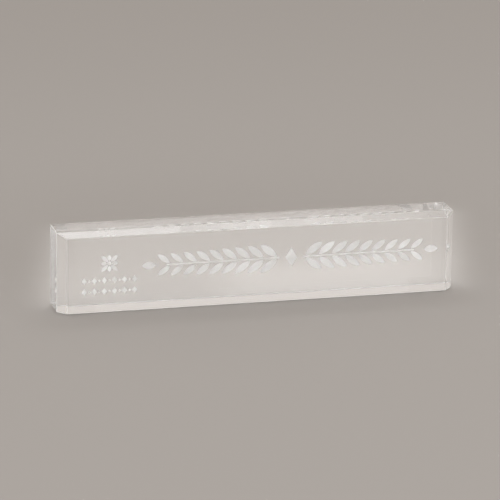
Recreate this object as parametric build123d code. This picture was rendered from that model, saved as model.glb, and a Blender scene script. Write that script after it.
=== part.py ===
from build123d import *
import os

# A desk name plate: one polished bar of cast acrylic that stands on its long edge.
# Its front has a mitred bevel along the top and down both ends, and runs square to the base.
# Four low bumper feet are stuck under the base. The front faces -Y and the base is down.

# Bar
plate_length = 254.0
plate_height = 50.8
plate_depth = 25.4

# Bevels of the front: how wide each one is on the front face, and how far back all of them reach
end_bevel_width = 5.2
top_bevel_height = 2.7
bevel_depth = 6.3

# Flame-polished arris along every edge of the bar
arris = 0.3

# Bumper feet: tapered buttons in two rows along the middle of the base, far enough back to stay out of sight
foot_diameter = 8.0
foot_height = 1.2
foot_taper = 0.5
foot_rim_radius = 0.4
foot_row_gap = 0.8
foot_end_inset = 14.0

front = -plate_depth / 2
back = plate_depth / 2
half_length = plate_length / 2
base = foot_height
top = base + plate_height


def acrylic_bar():
    """The bar: its plan, with the front corners cut off, crossed with its side profile."""
    plan = Polyline(
        (-half_length, back),
        (-half_length, front + bevel_depth),
        (-half_length + end_bevel_width, front),
        (half_length - end_bevel_width, front),
        (half_length, front + bevel_depth),
        (half_length, back),
        close=True,
    )
    upright = extrude(make_face(Plane.XY.offset(base) * plan), plate_height)
    side = Polyline(
        (front, base),
        (front, top - top_bevel_height),
        (front + bevel_depth, top),
        (back, top),
        (back, base),
        close=True,
    )
    lengthwise = extrude(make_face(Plane.YZ * side), half_length, both=True)
    bar = upright & lengthwise
    return chamfer(bar.edges(), arris)


def bumper_foot(x, y):
    """A tapered button, widest where it is stuck to the base, with a rounded rim at the desk."""
    stuck_radius = foot_diameter / 2
    tread_radius = stuck_radius - foot_taper
    section = Polyline((0, 0), (tread_radius, 0), (stuck_radius, foot_height), (0, foot_height), close=True)
    button = revolve(make_face(Plane.XZ * section), Axis.Z)
    rim = button.edges().filter_by(GeomType.CIRCLE).sort_by(Axis.Z)[0]
    return Pos(x, y, 0) * fillet(rim, foot_rim_radius)


foot_x = half_length - foot_end_inset
foot_y = (foot_row_gap + foot_diameter) / 2

nodes = {"acrylic_bar": acrylic_bar()}
for depth_name, y in (("front", -foot_y), ("rear", foot_y)):
    for side_name, x in (("left", -foot_x), ("right", foot_x)):
        nodes[f"{depth_name}_{side_name}_foot"] = bumper_foot(x, y)

os.makedirs("parts", exist_ok=True)
for name, solid in nodes.items():
    solid.label = name
    export_step(solid, f"parts/{name}.step")
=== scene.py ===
import math
import bmesh
import bpy
from mathutils import Matrix, Vector


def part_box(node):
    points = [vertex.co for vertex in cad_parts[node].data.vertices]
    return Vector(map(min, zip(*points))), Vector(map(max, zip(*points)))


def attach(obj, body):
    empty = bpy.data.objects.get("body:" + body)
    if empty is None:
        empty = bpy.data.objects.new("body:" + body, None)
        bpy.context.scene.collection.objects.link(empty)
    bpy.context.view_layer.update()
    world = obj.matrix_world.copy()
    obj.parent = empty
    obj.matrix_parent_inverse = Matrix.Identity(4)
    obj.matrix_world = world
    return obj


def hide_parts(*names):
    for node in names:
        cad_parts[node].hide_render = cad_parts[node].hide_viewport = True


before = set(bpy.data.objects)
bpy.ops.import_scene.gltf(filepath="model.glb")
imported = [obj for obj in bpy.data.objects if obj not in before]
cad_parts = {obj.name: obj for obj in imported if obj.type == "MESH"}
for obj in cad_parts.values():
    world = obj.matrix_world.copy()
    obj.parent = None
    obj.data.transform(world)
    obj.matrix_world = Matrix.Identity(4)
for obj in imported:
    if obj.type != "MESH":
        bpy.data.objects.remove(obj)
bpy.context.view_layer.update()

# Bar: a block sawn from clear cast acrylic, whose own glassy faces are its front and back. Its long sawn
# sides are polished and its ends only buffed, and a mitred bevel runs along the top of the front and down
# both ends. Every arris was eased in a flame, has gone satin, and is worn whiter where hands take hold.
BAR_LOW, BAR_HIGH = (Vector(corner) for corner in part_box("acrylic_bar"))
END_BEVEL_WIDTH = 0.0052
TOP_BEVEL_HEIGHT = 0.0027
BEVEL_DEPTH = 0.0063
ARRIS = 0.0003
ARRIS_STEPS = 3
WELD = 0.000003
SQUARE_ON = 0.995
CAST, POLISHED, BUFFED, SATIN, WORN, ENGRAVED = range(6)
ACRYLIC_IOR = 1.49
WIPE_LENGTH = 0.05
WIPE_WIDTH = 0.006
WIPE_HAZE = (0.0, 0.012)
BUFFED_HAZE = (0.12, 0.18)
RIPPLE_SPAN = 0.007
RIPPLE_DEPTH = 0.000001
SATIN_ROUGHNESS = (0.38, 0.55)
SATIN_SPAN = 0.0025
SATIN_CLEARNESS = 0.95
WORN_CLEARNESS = 0.4
NOISE_RANGE = (0.4, 0.7)


def cut_away(bm, point, normal):
    """Cuts away what lies on the normal's side of a plane and returns the edges of the cut."""
    everything = bm.verts[:] + bm.edges[:] + bm.faces[:]
    cut = bmesh.ops.bisect_plane(bm, geom=everything, plane_co=point, plane_no=normal, clear_outer=True)
    return [item for item in cut["geom_cut"] if isinstance(item, bmesh.types.BMEdge)]


def mill_off(bm, point, normal):
    """Cuts away a corner of a block and closes the cut with one flat face."""
    bmesh.ops.edgeloop_fill(bm, edges=cut_away(bm, point, normal))


def handled(face):
    """Whether a face of an arris is at an end of the bar or round its back."""
    middle = face.calc_center_median()
    return middle.y > BAR_HIGH.y - ARRIS or abs(middle.x) > BAR_HIGH.x - ARRIS


def bar_mesh():
    """The block with its bevel milled and every edge rounded."""
    bm = bmesh.new()
    bmesh.ops.create_cube(bm, size=1.0)
    bmesh.ops.scale(bm, vec=BAR_HIGH - BAR_LOW, verts=bm.verts)
    bmesh.ops.translate(bm, vec=(BAR_LOW + BAR_HIGH) / 2, verts=bm.verts)
    for side, end in ((-1, BAR_LOW.x), (1, BAR_HIGH.x)):
        outer_edge = (end, BAR_LOW.y + BEVEL_DEPTH, BAR_LOW.z)
        mill_off(bm, outer_edge, (side * BEVEL_DEPTH, -END_BEVEL_WIDTH, 0))
    upper_edge = (0, BAR_LOW.y + BEVEL_DEPTH, BAR_HIGH.z)
    mill_off(bm, upper_edge, (0, -TOP_BEVEL_HEIGHT, BEVEL_DEPTH))
    bmesh.ops.remove_doubles(bm, verts=bm.verts, dist=WELD)
    bmesh.ops.recalc_face_normals(bm, faces=bm.faces)
    for face in bm.faces:
        if abs(face.normal.y) > SQUARE_ON:
            face.material_index = CAST
        elif abs(face.normal.x) > SQUARE_ON:
            face.material_index = BUFFED
        else:
            face.material_index = POLISHED
    rounded = bmesh.ops.bevel(
        bm, geom=bm.edges[:], offset=ARRIS, segments=ARRIS_STEPS, profile=0.5, affect="EDGES", material=-1
    )
    for face in rounded["faces"]:
        face.smooth = True
        face.material_index = WORN if handled(face) else SATIN
    bmesh.ops.recalc_face_normals(bm, faces=bm.faces)
    mesh = bpy.data.meshes.new("acrylic_bar")
    bm.to_mesh(mesh)
    bm.free()
    return mesh


def clear_acrylic(name):
    """The acrylic itself, before any finish."""
    material = bpy.data.materials.new(name)
    material.use_nodes = True
    shader = material.node_tree.nodes["Principled BSDF"]
    shader.inputs["Base Color"].default_value = (1.0, 1.0, 1.0, 1.0)
    shader.inputs["Roughness"].default_value = 0.0
    shader.inputs["IOR"].default_value = ACRYLIC_IOR
    shader.inputs["Transmission Weight"].default_value = 1.0
    return material


def noise_on(material, spans, detail):
    """Noise on the piece's own coordinates, with patches of the given length along X, Y and Z."""
    nodes = material.node_tree.nodes
    links = material.node_tree.links
    coordinates = nodes.new("ShaderNodeTexCoord")
    spread = nodes.new("ShaderNodeMapping")
    spread.inputs["Scale"].default_value = [1 / span for span in spans]
    noise = nodes.new("ShaderNodeTexNoise")
    noise.inputs["Scale"].default_value = 1.0
    noise.inputs["Detail"].default_value = detail
    links.new(coordinates.outputs["Object"], spread.inputs["Vector"])
    links.new(spread.outputs["Vector"], noise.inputs["Vector"])
    return noise


def vary_roughness(material, noise, low, high):
    """Lets noise take the roughness from low to high."""
    levels = material.node_tree.nodes.new("ShaderNodeMapRange")
    levels.inputs["From Min"].default_value = NOISE_RANGE[0]
    levels.inputs["From Max"].default_value = NOISE_RANGE[1]
    levels.inputs["To Min"].default_value = low
    levels.inputs["To Max"].default_value = high
    shader = material.node_tree.nodes["Principled BSDF"]
    material.node_tree.links.new(noise.outputs["Fac"], levels.inputs["Value"])
    material.node_tree.links.new(levels.outputs["Result"], shader.inputs["Roughness"])


def raise_surface(material, height, depth):
    """Bumps the surface by a height from 0 to 1, which stands for the given depth."""
    bump = material.node_tree.nodes.new("ShaderNodeBump")
    bump.inputs["Distance"].default_value = depth
    shader = material.node_tree.nodes["Principled BSDF"]
    material.node_tree.links.new(height, bump.inputs["Height"])
    material.node_tree.links.new(bump.outputs["Normal"], shader.inputs["Normal"])


def wipe(material, haze):
    """Leaves the marks of a cloth along the piece, from clear to hazy."""
    marks = noise_on(material, (WIPE_LENGTH, WIPE_WIDTH, WIPE_WIDTH), detail=4)
    vary_roughness(material, marks, *haze)


def cast_face():
    """As glassy as it left the mould."""
    material = clear_acrylic("cast_acrylic_face")
    wipe(material, WIPE_HAZE)
    return material


def sawn_side(name, haze):
    """Rubbed down after the saw, which leaves it very slightly wavy."""
    material = clear_acrylic(name)
    wipe(material, haze)
    ripple = noise_on(material, (RIPPLE_SPAN,) * 3, detail=1)
    raise_surface(material, ripple.outputs["Fac"], RIPPLE_DEPTH)
    return material


def flamed_arris(name, clearness):
    """Satin, duller and brighter by turns along the edge. The less clear it is, the whiter."""
    material = clear_acrylic(name)
    shader = material.node_tree.nodes["Principled BSDF"]
    shader.inputs["Transmission Weight"].default_value = clearness
    vary_roughness(material, noise_on(material, (SATIN_SPAN,) * 3, detail=3), *SATIN_ROUGHNESS)
    return material


bar = bpy.data.objects.new("acrylic_bar_polished", bar_mesh())
bpy.context.collection.objects.link(bar)
for finish in (
    cast_face(),
    sawn_side("polished_acrylic_side", WIPE_HAZE),
    sawn_side("buffed_acrylic_end", BUFFED_HAZE),
    flamed_arris("satin_acrylic_arris", SATIN_CLEARNESS),
    flamed_arris("worn_acrylic_arris", WORN_CLEARNESS),
):
    bar.data.materials.append(finish)

# Engraving: burnt into the back of the bar by a laser, a fraction of a millimetre deep, and read through
# the front. The beam leaves the floor of each recess white and frosted. The ornament is a spray of leaves
# with a small flower and two rows of lozenges beside it.
ENGRAVING_DEPTH = 0.0004
CUTTER_REACH = 0.002
CURVE_STEPS = 28
LEAF_POINT = 0.6
SPRAY_MIDDLE = (0.025, 0.0232)
SPRAY_START = 0.0095
LOZENGE_WIDTH = 0.0075
LOZENGE_HEIGHT = 0.0125
LEAF_PITCH = 0.0086
LEAF_PAIRS = 9
LEAF_LENGTH = 0.0128
LEAF_WIDTH = 0.0046
LEAF_LEAN = math.radians(37)
LEAF_CLEARANCE = 0.0011
SPRAY_TAPER = 0.3
STEM_THICKNESS = 0.0009
STEM_SHORTFALL = 0.6 * LEAF_PITCH
FLOWER_MIDDLE = (-0.0915, 0.0262)
FLOWER_HEART = 0.0022
PETAL_START = 0.0017
PETAL_LENGTHS = (0.0054, 0.0036)
PETAL_WIDTH = 0.0024
PETALS = 8
FIRST_PETAL = math.radians(45)
ROW_HEIGHTS = (0.0153, 0.0083)
ROW_LOZENGES = 6
ROW_PITCH = 0.0064
ROW_LOZENGE_WIDTH = 0.0034
ROW_LOZENGE_HEIGHT = 0.0044
ROW_DOT = 0.0013
FROST_PALE = (0.96, 0.955, 0.945, 1.0)
FROST_DULL = (0.88, 0.875, 0.865, 1.0)
FROST_ROUGHNESS = (0.8, 1.0)
FROST_CLEARNESS = 0.12
FROST_GRAIN = 0.0007
RASTER_PITCH = 0.0002
RASTER_DEPTH = 0.00001
WAVE_RADIANS = 20


def at(x, z, turn=0.0):
    """A place on the bar's face, as it is seen from the front."""
    return Matrix.Translation((x, z, 0)) @ Matrix.Rotation(turn, 4, "Z")


def leaf(bm, length, width, placed):
    """A flat leaf along X, pointed at both ends."""
    ring = bmesh.ops.create_circle(bm, cap_ends=True, segments=CURVE_STEPS, radius=1.0)["verts"]
    for vert in ring:
        vert.co.y *= abs(vert.co.y) ** LEAF_POINT * width / 2
        vert.co.x *= length / 2
    bmesh.ops.transform(bm, matrix=placed, verts=ring)


def disc(bm, diameter, placed):
    """A flat round dot."""
    ring = bmesh.ops.create_circle(bm, cap_ends=True, segments=CURVE_STEPS, radius=diameter / 2)["verts"]
    bmesh.ops.transform(bm, matrix=placed, verts=ring)


def lozenge(bm, width, height, placed):
    """A flat diamond."""
    ring = bmesh.ops.create_circle(bm, cap_ends=True, segments=4, radius=0.5)["verts"]
    bmesh.ops.transform(bm, matrix=placed @ Matrix.Diagonal((width, height, 1, 1)), verts=ring)


def dash(bm, width, height, placed):
    """A flat bar."""
    corners = bmesh.ops.create_grid(bm, x_segments=1, y_segments=1, size=0.5)["verts"]
    bmesh.ops.transform(bm, matrix=placed @ Matrix.Diagonal((width, height, 1, 1)), verts=corners)


def spray(bm):
    """A lozenge with a row of leaf pairs to each side of it, smaller towards the tips."""
    mid_x, mid_z = SPRAY_MIDDLE
    lozenge(bm, LOZENGE_WIDTH, LOZENGE_HEIGHT, at(mid_x, mid_z))
    reach = LEAF_PAIRS * LEAF_PITCH
    tip_length = LEAF_LENGTH * (1 - SPRAY_TAPER)
    for side in (-1, 1):
        stem_middle = SPRAY_START + reach / 2 - LEAF_PITCH / 2
        dash(bm, reach - STEM_SHORTFALL, STEM_THICKNESS, at(mid_x + side * stem_middle, mid_z))
        for pair in range(LEAF_PAIRS):
            size = 1 - SPRAY_TAPER * pair / LEAF_PAIRS
            for upward in (-1, 1):
                lean = LEAF_LEAN * upward
                along = SPRAY_START + pair * LEAF_PITCH + math.cos(lean) * LEAF_LENGTH * size / 2
                across = upward * LEAF_CLEARANCE + math.sin(lean) * LEAF_LENGTH * size / 2
                turn = lean if side > 0 else math.pi - lean
                placed = at(mid_x + side * along, mid_z + across, turn)
                leaf(bm, LEAF_LENGTH * size, LEAF_WIDTH * size, placed)
        tip = SPRAY_START + reach + tip_length / 2
        leaf(bm, tip_length, LEAF_WIDTH, at(mid_x + side * tip, mid_z))


def flower(bm):
    """Long and short petals by turns about a round heart."""
    mid_x, mid_z = FLOWER_MIDDLE
    disc(bm, FLOWER_HEART, at(mid_x, mid_z))
    for number in range(PETALS):
        turn = FIRST_PETAL + number * 2 * math.pi / PETALS
        length = PETAL_LENGTHS[number % 2]
        out = PETAL_START + length / 2
        placed = at(mid_x + math.cos(turn) * out, mid_z + math.sin(turn) * out, turn)
        leaf(bm, length, PETAL_WIDTH, placed)


def lozenge_rows(bm):
    """Two rows of small lozenges under the flower, with a dot between each two."""
    first = FLOWER_MIDDLE[0] - (ROW_LOZENGES - 1) / 2 * ROW_PITCH
    for row in ROW_HEIGHTS:
        for number in range(ROW_LOZENGES):
            lozenge(bm, ROW_LOZENGE_WIDTH, ROW_LOZENGE_HEIGHT, at(first + number * ROW_PITCH, row))
        for number in range(ROW_LOZENGES - 1):
            disc(bm, ROW_DOT, at(first + (number + 0.5) * ROW_PITCH, row))


def vary_color(material, noise, dull, pale):
    """Lets noise blend a dull and a pale colour."""
    blend = material.node_tree.nodes.new("ShaderNodeMix")
    blend.data_type = "RGBA"
    blend.inputs["A"].default_value = dull
    blend.inputs["B"].default_value = pale
    shader = material.node_tree.nodes["Principled BSDF"]
    material.node_tree.links.new(noise.outputs["Fac"], blend.inputs["Factor"])
    material.node_tree.links.new(blend.outputs["Result"], shader.inputs["Base Color"])


def raster_lines(material):
    """The passes of the beam, which run along X and are stepped up Z."""
    nodes = material.node_tree.nodes
    coordinates = nodes.new("ShaderNodeTexCoord")
    lines = nodes.new("ShaderNodeTexWave")
    lines.bands_direction = "Z"
    # A wave texture at scale 1 turns through these radians in each unit of length.
    lines.inputs["Scale"].default_value = 2 * math.pi / (WAVE_RADIANS * RASTER_PITCH)
    material.node_tree.links.new(coordinates.outputs["Object"], lines.inputs["Vector"])
    return lines


def frosted_engraving():
    """White and grainy, where the beam has boiled the acrylic line by line."""
    material = clear_acrylic("frosted_engraving")
    shader = material.node_tree.nodes["Principled BSDF"]
    shader.inputs["Transmission Weight"].default_value = FROST_CLEARNESS
    grain = noise_on(material, (FROST_GRAIN,) * 3, detail=4)
    vary_color(material, grain, FROST_DULL, FROST_PALE)
    vary_roughness(material, grain, *FROST_ROUGHNESS)
    raise_surface(material, raster_lines(material).outputs["Fac"], RASTER_DEPTH)
    return material


def engrave(piece):
    """Cuts the ornament into the back of the piece."""
    bm = bmesh.new()
    spray(bm)
    flower(bm)
    lozenge_rows(bm)
    stand_up = Matrix.Rotation(math.pi / 2, 4, "X")
    at_depth = Matrix.Translation((0, BAR_HIGH.y - ENGRAVING_DEPTH, BAR_LOW.z))
    bmesh.ops.transform(bm, matrix=at_depth @ stand_up, verts=bm.verts)
    grown = bmesh.ops.extrude_face_region(bm, geom=bm.faces[:])
    risen = [item for item in grown["geom"] if isinstance(item, bmesh.types.BMVert)]
    bmesh.ops.translate(bm, vec=(0, CUTTER_REACH, 0), verts=risen)
    bmesh.ops.recalc_face_normals(bm, faces=bm.faces)
    for face in bm.faces:
        face.material_index = ENGRAVED
    mesh = bpy.data.meshes.new("laser_pass")
    bm.to_mesh(mesh)
    bm.free()
    cutter = bpy.data.objects.new("laser_pass", mesh)
    bpy.context.collection.objects.link(cutter)
    piece.data.materials.append(frosted_engraving())
    for material in piece.data.materials:
        cutter.data.materials.append(material)
    cut = piece.modifiers.new("engraving", "BOOLEAN")
    cut.operation = "DIFFERENCE"
    cut.solver = "EXACT"
    cut.object = cutter
    bpy.context.view_layer.update()
    done = bpy.data.meshes.new_from_object(piece.evaluated_get(bpy.context.evaluated_depsgraph_get()))
    piece.modifiers.remove(cut)
    piece.data = done
    bpy.data.objects.remove(cutter)


engrave(bar)
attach(bar, "root")
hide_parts("acrylic_bar")

# Bumper feet: small buttons of soft milky polyurethane, which keep the base off the desk. Each is moulded
# with a taper and a rounded tread, and stuck under a corner of the base with its own film of adhesive.
FEET = ("front_left_foot", "front_right_foot", "rear_left_foot", "rear_right_foot")
FOOT_TAPER = 0.0005
FOOT_RIM = 0.0004
FOOT_SIDES = 48
RIM_STEPS = 4
ADHESIVE_FILM = 0.00002
POLYURETHANE_IOR = 1.5
MILKY_PALE = (0.94, 0.935, 0.92, 1.0)
MILKY_DULL = (0.90, 0.895, 0.88, 1.0)
MILKY_ROUGHNESS = (0.34, 0.48)
MILKY_CLEARNESS = 0.15
MOULD_GRAIN = 0.0006
MOULD_DEPTH = 0.000015


def bumper_mesh(node):
    """A button turned about its own axis, where its node is."""
    low, high = (Vector(corner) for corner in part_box(node))
    middle = Vector(((low.x + high.x) / 2, (low.y + high.y) / 2, 0))
    stuck_radius = (high.x - low.x) / 2
    tread_radius = stuck_radius - FOOT_TAPER
    stuck_height = high.z - ADHESIVE_FILM
    bm = bmesh.new()
    outline = ((0, low.z), (tread_radius, low.z), (stuck_radius, stuck_height), (0, stuck_height))
    points = [bm.verts.new((x, 0, z)) for x, z in outline]
    section = [bm.edges.new(pair) for pair in zip(points[:-1], points[1:])]
    turned = {"cent": (0, 0, 0), "axis": (0, 0, 1), "angle": 2 * math.pi, "steps": FOOT_SIDES}
    bmesh.ops.spin(bm, geom=points + section, use_merge=True, **turned)
    bmesh.ops.remove_doubles(bm, verts=bm.verts, dist=WELD)
    treads = [face for face in bm.faces if all(vert.co.z < low.z + FOOT_RIM for vert in face.verts)]
    tread_rim = [edge for edge in bm.edges if len(set(edge.link_faces) & set(treads)) == 1]
    bmesh.ops.bevel(
        bm, geom=tread_rim, offset=FOOT_RIM, segments=RIM_STEPS, profile=0.5, affect="EDGES", material=-1
    )
    bmesh.ops.recalc_face_normals(bm, faces=bm.faces)
    for face in bm.faces:
        face.smooth = abs(face.normal.z) < SQUARE_ON
    bmesh.ops.translate(bm, vec=middle, verts=bm.verts)
    mesh = bpy.data.meshes.new(node)
    bm.to_mesh(mesh)
    bm.free()
    return mesh


def milky_polyurethane():
    """Cloudy through and through, with the fine grain of its mould."""
    material = clear_acrylic("milky_polyurethane")
    shader = material.node_tree.nodes["Principled BSDF"]
    shader.inputs["IOR"].default_value = POLYURETHANE_IOR
    shader.inputs["Transmission Weight"].default_value = MILKY_CLEARNESS
    grain = noise_on(material, (MOULD_GRAIN,) * 3, detail=3)
    vary_color(material, grain, MILKY_DULL, MILKY_PALE)
    vary_roughness(material, grain, *MILKY_ROUGHNESS)
    raise_surface(material, grain.outputs["Fac"], MOULD_DEPTH)
    return material


bumper = milky_polyurethane()
for name in FEET:
    foot = bpy.data.objects.new(name.replace("foot", "bumper"), bumper_mesh(name))
    bpy.context.collection.objects.link(foot)
    foot.data.materials.append(bumper)
    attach(foot, "root")
    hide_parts(name)

# Studio: a plain pale table top under even light, with a white card under the bar. The card is much paler
# than
# the table: it is painted light, standing in for the light that comes down through the clear bar onto the
# table under it. Three long softboxes low in front light the engraving, a row of small ones behind shows in
# the top bevel and a dim one shows in the left end. Others, with grids, lay a pool of light behind the bar,
# stepped along the line of sight.
CAMERA_AZIMUTH = math.radians(14.66)
CAMERA_ELEVATION = math.radians(16.44)
LIGHT_COLOR = (0.985, 1.0, 1.015)
EVEN_COLOR = (0.68, 0.636, 0.597, 1.0)
MATT_ROUGHNESS = 0.9
MATT_SPECULAR = 0.1
FLOOR_COLOR = (0.46, 0.44, 0.423, 1.0)
FLOOR_SIZE = 40.0
FLOOR_GAP = 0.00002
# The card's pale colour is painted light in the shade under the bar, in place of light through the glass.
PAINTED_LIGHT_CARD_COLOR = (0.96, 0.93, 0.90, 1.0)
CARD_FRONT_INSET = 0.004
CARD_END_INSET = 0.0015
CARD_LIFT = 0.00005
FRONT_LIGHT_TURN = math.radians(46)
FRONT_LIGHT_PLACE = Vector((0, -3.4, 0.45))
FRONT_LIGHT_SIZE = (2.9, 0.66)
FRONT_LIGHT_POWER = 50
END_LIGHT_DISTANCE = 2.0
END_LIGHT_SIZE = (0.36, 0.36)
END_LIGHT_POWER = 0.25
BEVEL_LIGHT_PLACE = Vector((-0.0125, 0.306, 0.62))
BEVEL_LIGHT_SIZE = (0.075, 0.14)
BEVEL_LIGHT_POWERS = (0.118, 0.1, 0.052, 0.032)
POOL_HEIGHT = 0.45
POOL_GRID = math.radians(6)
POOL_START = -0.012
POOL_LEFT_OVERHANG = 0.004
POOL_RIGHT_OVERHANG = 0.012
POOL_POWERS = (0.0138, 0.0164, 0.0152, 0.0140, 0.0132)
RIGHT_POOL_MIDDLE = Vector((0.055, 0.044, 0))
RIGHT_POOL_SIZE = (0.135, 0.065)
RIGHT_POOL_GRID = math.radians(8)
RIGHT_POOL_POWER = 0.0064
NO_GRID = math.pi


def matt(name, color):
    """A dull, even surface."""
    material = bpy.data.materials.new(name)
    material.use_nodes = True
    shader = material.node_tree.nodes["Principled BSDF"]
    shader.inputs["Base Color"].default_value = color
    shader.inputs["Roughness"].default_value = MATT_ROUGHNESS
    shader.inputs["Specular IOR Level"].default_value = MATT_SPECULAR
    return material


def flat_sheet(low, high, height):
    """A flat rectangle between two corners, at a height."""
    bm = bmesh.new()
    bmesh.ops.create_grid(bm, x_segments=1, y_segments=1, size=0.5)
    bmesh.ops.scale(bm, vec=(high.x - low.x, high.y - low.y, 1), verts=bm.verts)
    bmesh.ops.translate(bm, vec=((low.x + high.x) / 2, (low.y + high.y) / 2, height), verts=bm.verts)
    return bm


def lay_down(name, bm, material):
    """Adds a sheet that the bar stands on, which isn't part of it."""
    mesh = bpy.data.meshes.new(name)
    bm.to_mesh(mesh)
    bm.free()
    sheet = bpy.data.objects.new(name, mesh)
    bpy.context.collection.objects.link(sheet)
    sheet.data.materials.append(material)


def softbox(name, place, aim, size, power, grid=NO_GRID):
    """A soft light at a place, facing a point. A grid narrows its beam and hides it from reflections."""
    shows = grid == NO_GRID
    data = bpy.data.lights.new(name, "AREA")
    data.shape = "RECTANGLE"
    data.size, data.size_y = size
    data.energy = power
    data.spread = grid
    data.cycles.use_multiple_importance_sampling = shows
    data.color = LIGHT_COLOR
    light = bpy.data.objects.new(name, data)
    light.visible_camera = False
    light.visible_glossy = shows
    light.visible_transmission = shows
    light.location = place
    light.rotation_euler = (Vector(aim) - Vector(place)).to_track_quat("-Z", "Y").to_euler()
    bpy.context.collection.objects.link(light)


def from_bar(azimuth):
    """Points away from the bar at the camera's elevation, turned to the left of the front by an azimuth."""
    reach = math.cos(CAMERA_ELEVATION)
    return Vector((-math.sin(azimuth) * reach, -math.cos(azimuth) * reach, math.sin(CAMERA_ELEVATION)))


floor_reach = Vector((FLOOR_SIZE / 2, FLOOR_SIZE / 2, 0))
table = flat_sheet(-floor_reach, floor_reach, -FLOOR_GAP)
lay_down("table_top", table, matt("pale_table_top", FLOOR_COLOR))
# A pale card in the shade under the bar, as painted light seen through its top and base.
card_low = BAR_LOW + Vector((CARD_END_INSET, CARD_FRONT_INSET, 0))
card_high = BAR_HIGH - Vector((CARD_END_INSET, 0, 0))
painted_light_card = flat_sheet(card_low, card_high, CARD_LIFT)
for side, end in ((-1, card_low.x), (1, card_high.x)):
    cut_away(painted_light_card, (end, card_low.y + BEVEL_DEPTH, 0), (side * BEVEL_DEPTH, -END_BEVEL_WIDTH, 0))
lay_down("painted_light_under_card", painted_light_card, matt("white_card_painted_light", PAINTED_LIGHT_CARD_COLOR))

bar_middle = (BAR_LOW + BAR_HIGH) / 2
for side, turn in (("left", -FRONT_LIGHT_TURN), ("middle", 0.0), ("right", FRONT_LIGHT_TURN)):
    place = Matrix.Rotation(turn, 3, "Z") @ FRONT_LIGHT_PLACE
    softbox(f"{side}_front_softbox", place, bar_middle, FRONT_LIGHT_SIZE, FRONT_LIGHT_POWER)
place = bar_middle + END_LIGHT_DISTANCE * from_bar(-CAMERA_AZIMUTH)
softbox("end_softbox", place, bar_middle, END_LIGHT_SIZE, END_LIGHT_POWER)
for number, power in enumerate(BEVEL_LIGHT_POWERS):
    place = BEVEL_LIGHT_PLACE + Vector((number * BEVEL_LIGHT_SIZE[0], 0, 0))
    softbox(f"bevel_softbox_{number + 1}", place, (place.x, 0, BAR_HIGH.z), BEVEL_LIGHT_SIZE, power)

above = Vector((0, 0, POOL_HEIGHT))
softbox(
    "right_pool_softbox",
    RIGHT_POOL_MIDDLE + above,
    RIGHT_POOL_MIDDLE,
    RIGHT_POOL_SIZE,
    RIGHT_POOL_POWER,
    RIGHT_POOL_GRID,
)
sight = (BAR_HIGH.z - BAR_LOW.z) / math.tan(CAMERA_ELEVATION)
strip = (sight - POOL_START) / len(POOL_POWERS)
pool_left = BAR_LOW.x - POOL_LEFT_OVERHANG
pool_right = BAR_HIGH.x + POOL_RIGHT_OVERHANG
pool_size = (pool_right - pool_left, math.cos(CAMERA_AZIMUTH) * strip)
for number, power in enumerate(POOL_POWERS):
    along = POOL_START + (number + 0.5) * strip
    start = Vector(((pool_left + pool_right) / 2, BAR_HIGH.y, 0))
    middle = start + along * Vector((math.sin(CAMERA_AZIMUTH), math.cos(CAMERA_AZIMUTH), 0))
    softbox(f"pool_softbox_{number + 1}", middle + above, middle, pool_size, power, POOL_GRID)

world = bpy.data.worlds.new("even_light")
bpy.context.scene.world = world
world.use_nodes = True
world.node_tree.nodes["Background"].inputs["Color"].default_value = EVEN_COLOR
world.node_tree.nodes["Background"].inputs["Strength"].default_value = 1.0

# Camera: a long lens a little to the left of the bar and above it, turned very slightly. Its place and its
# lens, in pixels of a frame of 500 by 500, were fitted to the outline of the bar in the photograph.
CAMERA_ROLL = math.radians(0.76)
CAMERA_DISTANCE = 2.394
CAMERA_AIM_HEIGHT = 0.025
FRAME_PIXELS = 500
LENS_PIXELS = 3835.5
AIM_PIXEL = (254.0, 258.15)
SENSOR = 36.0
CLEAR_BOUNCES = 48
GLOSS_BOUNCES = 16

camera_data = bpy.data.cameras.new("camera")
camera_data.sensor_width = SENSOR
camera_data.lens = LENS_PIXELS * SENSOR / FRAME_PIXELS
camera_data.shift_x = (FRAME_PIXELS / 2 - AIM_PIXEL[0]) / FRAME_PIXELS
camera_data.shift_y = (AIM_PIXEL[1] - FRAME_PIXELS / 2) / FRAME_PIXELS
camera = bpy.data.objects.new("camera", camera_data)
backward = from_bar(CAMERA_AZIMUTH)
level = Vector((math.cos(CAMERA_AZIMUTH), -math.sin(CAMERA_AZIMUTH), 0))
upward = backward.cross(level)
aim = Vector((0, 0, BAR_LOW.z + CAMERA_AIM_HEIGHT))
turned = Matrix((level, upward, backward)).transposed() @ Matrix.Rotation(CAMERA_ROLL, 3, "Z")
camera.matrix_world = Matrix.Translation(aim + backward * CAMERA_DISTANCE) @ turned.to_4x4()
bpy.context.collection.objects.link(camera)
bpy.context.scene.camera = camera

bpy.context.scene.view_settings.view_transform = "Standard"
bpy.context.scene.cycles.use_denoising = True
bpy.context.scene.cycles.use_light_tree = False
# Light is mirrored many times inside the bar before it finds its way out.
bpy.context.scene.cycles.max_bounces = CLEAR_BOUNCES
bpy.context.scene.cycles.transmission_bounces = CLEAR_BOUNCES
bpy.context.scene.cycles.glossy_bounces = GLOSS_BOUNCES
